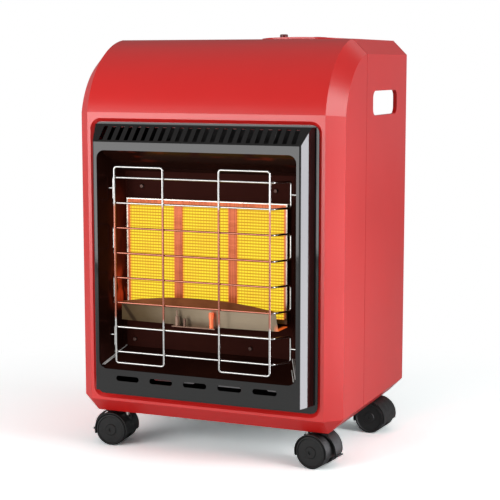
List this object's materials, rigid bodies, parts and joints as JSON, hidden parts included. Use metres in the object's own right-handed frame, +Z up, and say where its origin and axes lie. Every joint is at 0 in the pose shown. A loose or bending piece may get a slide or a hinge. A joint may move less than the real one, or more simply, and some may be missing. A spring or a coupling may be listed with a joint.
{
  "type": "portable propane cabinet heater",
  "caption": "Portable cabinet heater: red bevelled steel shells, black louvred fascia, wire-guarded infrared burner, top knob and igniter, twin-wheel castors.",
  "frame": {"origin": "on the floor under the middle of the overall box", "axes": "+Z up, -Y the front with the burner, +X to the right seen from the front"},
  "size_m": [0.416, 0.3578, 0.62],
  "materials": {
    "red_enamel": "gloss",
    "plated_steel": "satin",
    "gloss_black": "gloss",
    "black_enamel": "gloss",
    "stainless": "satin",
    "ceramic": "matte",
    "chrome_wire": "polished",
    "brass": "satin",
    "aluminium": "satin",
    "matte_black": "matte",
    "rubber_black": "satin"
  },
  "bodies": {
    "heater": {"front_housing": "red_enamel", "cabinet_shell": "red_enamel", "base_pan": "plated_steel", "tank_ring": "plated_steel", "divider_panel": "plated_steel", "top_heat_shield": "plated_steel", "fascia": "gloss_black", "firebox": "black_enamel", "burner_frame": "stainless", "plaque_1": "ceramic", "plaque_2": "ceramic", "plaque_3": "ceramic", "burner_body_1": "plated_steel", "burner_body_2": "plated_steel", "burner_body_3": "plated_steel", "gas_manifold": "plated_steel", "injectors": "brass", "manifold_bracket": "plated_steel", "deflector_tray": "stainless", "pilot_bracket": "stainless", "pilot_burner": "stainless", "spark_rod": "ceramic", "flame_probe": "stainless", "wire_guard": "chrome_wire", "control_panel": "red_enamel", "knob_well": "gloss_black", "valve_body": "brass", "supply_pipe": "aluminium", "igniter_body": "matte_black", "tilt_switch": "matte_black", "side_screws": "chrome_wire", "back_screws": "chrome_wire"},
    "valve_push": {"push_sleeve": "stainless"},
    "knob": {"control_knob": "gloss_black", "valve_stem": "stainless"},
    "igniter_key": {"igniter_button": "matte_black"},
    "castor_front_left": {"castor_hood_front_left": "matte_black", "castor_stem_front_left": "chrome_wire"},
    "wheels_front_left": {"castor_wheels_front_left": "rubber_black", "castor_axle_front_left": "plated_steel"},
    "brake_front_left": {"brake_lever_front_left": "matte_black"},
    "castor_front_right": {"castor_hood_front_right": "matte_black", "castor_stem_front_right": "chrome_wire"},
    "wheels_front_right": {"castor_wheels_front_right": "rubber_black", "castor_axle_front_right": "plated_steel"},
    "brake_front_right": {"brake_lever_front_right": "matte_black"},
    "castor_rear_left": {"castor_hood_rear_left": "matte_black", "castor_stem_rear_left": "chrome_wire"},
    "wheels_rear_left": {"castor_wheels_rear_left": "rubber_black", "castor_axle_rear_left": "plated_steel"},
    "castor_rear_right": {"castor_hood_rear_right": "matte_black", "castor_stem_rear_right": "chrome_wire"},
    "wheels_rear_right": {"castor_wheels_rear_right": "rubber_black", "castor_axle_rear_right": "plated_steel"}
  },
  "joints": [
    {"name": "knob_push", "type": "slide", "parent": "heater", "child": "valve_push", "axis": [0, 0, -1], "range_m": [0, 0.004], "stiffness_N_per_m": 900},
    {"name": "knob_turn", "type": "hinge", "parent": "valve_push", "child": "knob", "pos_m": [0.118, 0.0281, 0.605], "axis": [0, 0, 1], "range_deg": [0, 180]},
    {"name": "igniter_press", "type": "slide", "parent": "heater", "child": "igniter_key", "axis": [0, 0, -1], "range_m": [0, 0.005], "stiffness_N_per_m": 800},
    {"name": "swivel_front_left", "type": "hinge", "parent": "heater", "child": "castor_front_left", "pos_m": [-0.148, -0.0949, 0.055], "axis": [0, 0, 1], "continuous": true},
    {"name": "roll_front_left", "type": "hinge", "parent": "castor_front_left", "child": "wheels_front_left", "pos_m": [-0.16494, -0.09638, 0.024], "axis": [0.0872, -0.9962, 0], "continuous": true},
    {"name": "brake_front_left_press", "type": "hinge", "parent": "castor_front_left", "child": "brake_front_left", "pos_m": [-0.17429, -0.0972, 0.04166], "axis": [0.0872, -0.9962, 0], "range_deg": [0, 12]},
    {"name": "swivel_front_right", "type": "hinge", "parent": "heater", "child": "castor_front_right", "pos_m": [0.148, -0.0949, 0.055], "axis": [0, 0, 1], "continuous": true},
    {"name": "roll_front_right", "type": "hinge", "parent": "castor_front_right", "child": "wheels_front_right", "pos_m": [0.16479, -0.09756, 0.024], "axis": [0.1564, 0.9877, 0], "continuous": true},
    {"name": "brake_front_right_press", "type": "hinge", "parent": "castor_front_right", "child": "brake_front_right", "pos_m": [0.17406, -0.09903, 0.04166], "axis": [0.1564, 0.9877, 0], "range_deg": [0, 12]},
    {"name": "swivel_rear_left", "type": "hinge", "parent": "heater", "child": "castor_rear_left", "pos_m": [-0.162, 0.1251, 0.055], "axis": [0, 0, 1], "continuous": true},
    {"name": "roll_rear_left", "type": "hinge", "parent": "castor_rear_left", "child": "wheels_rear_left", "pos_m": [-0.17896, 0.12629, 0.024], "axis": [-0.0698, -0.9976, 0], "continuous": true},
    {"name": "swivel_rear_right", "type": "hinge", "parent": "heater", "child": "castor_rear_right", "pos_m": [0.162, 0.1251, 0.055], "axis": [0, 0, 1], "continuous": true},
    {"name": "roll_rear_right", "type": "hinge", "parent": "castor_rear_right", "child": "wheels_rear_right", "pos_m": [0.17896, 0.12391, 0.024], "axis": [0.0698, 0.9976, 0], "continuous": true}
  ]
}
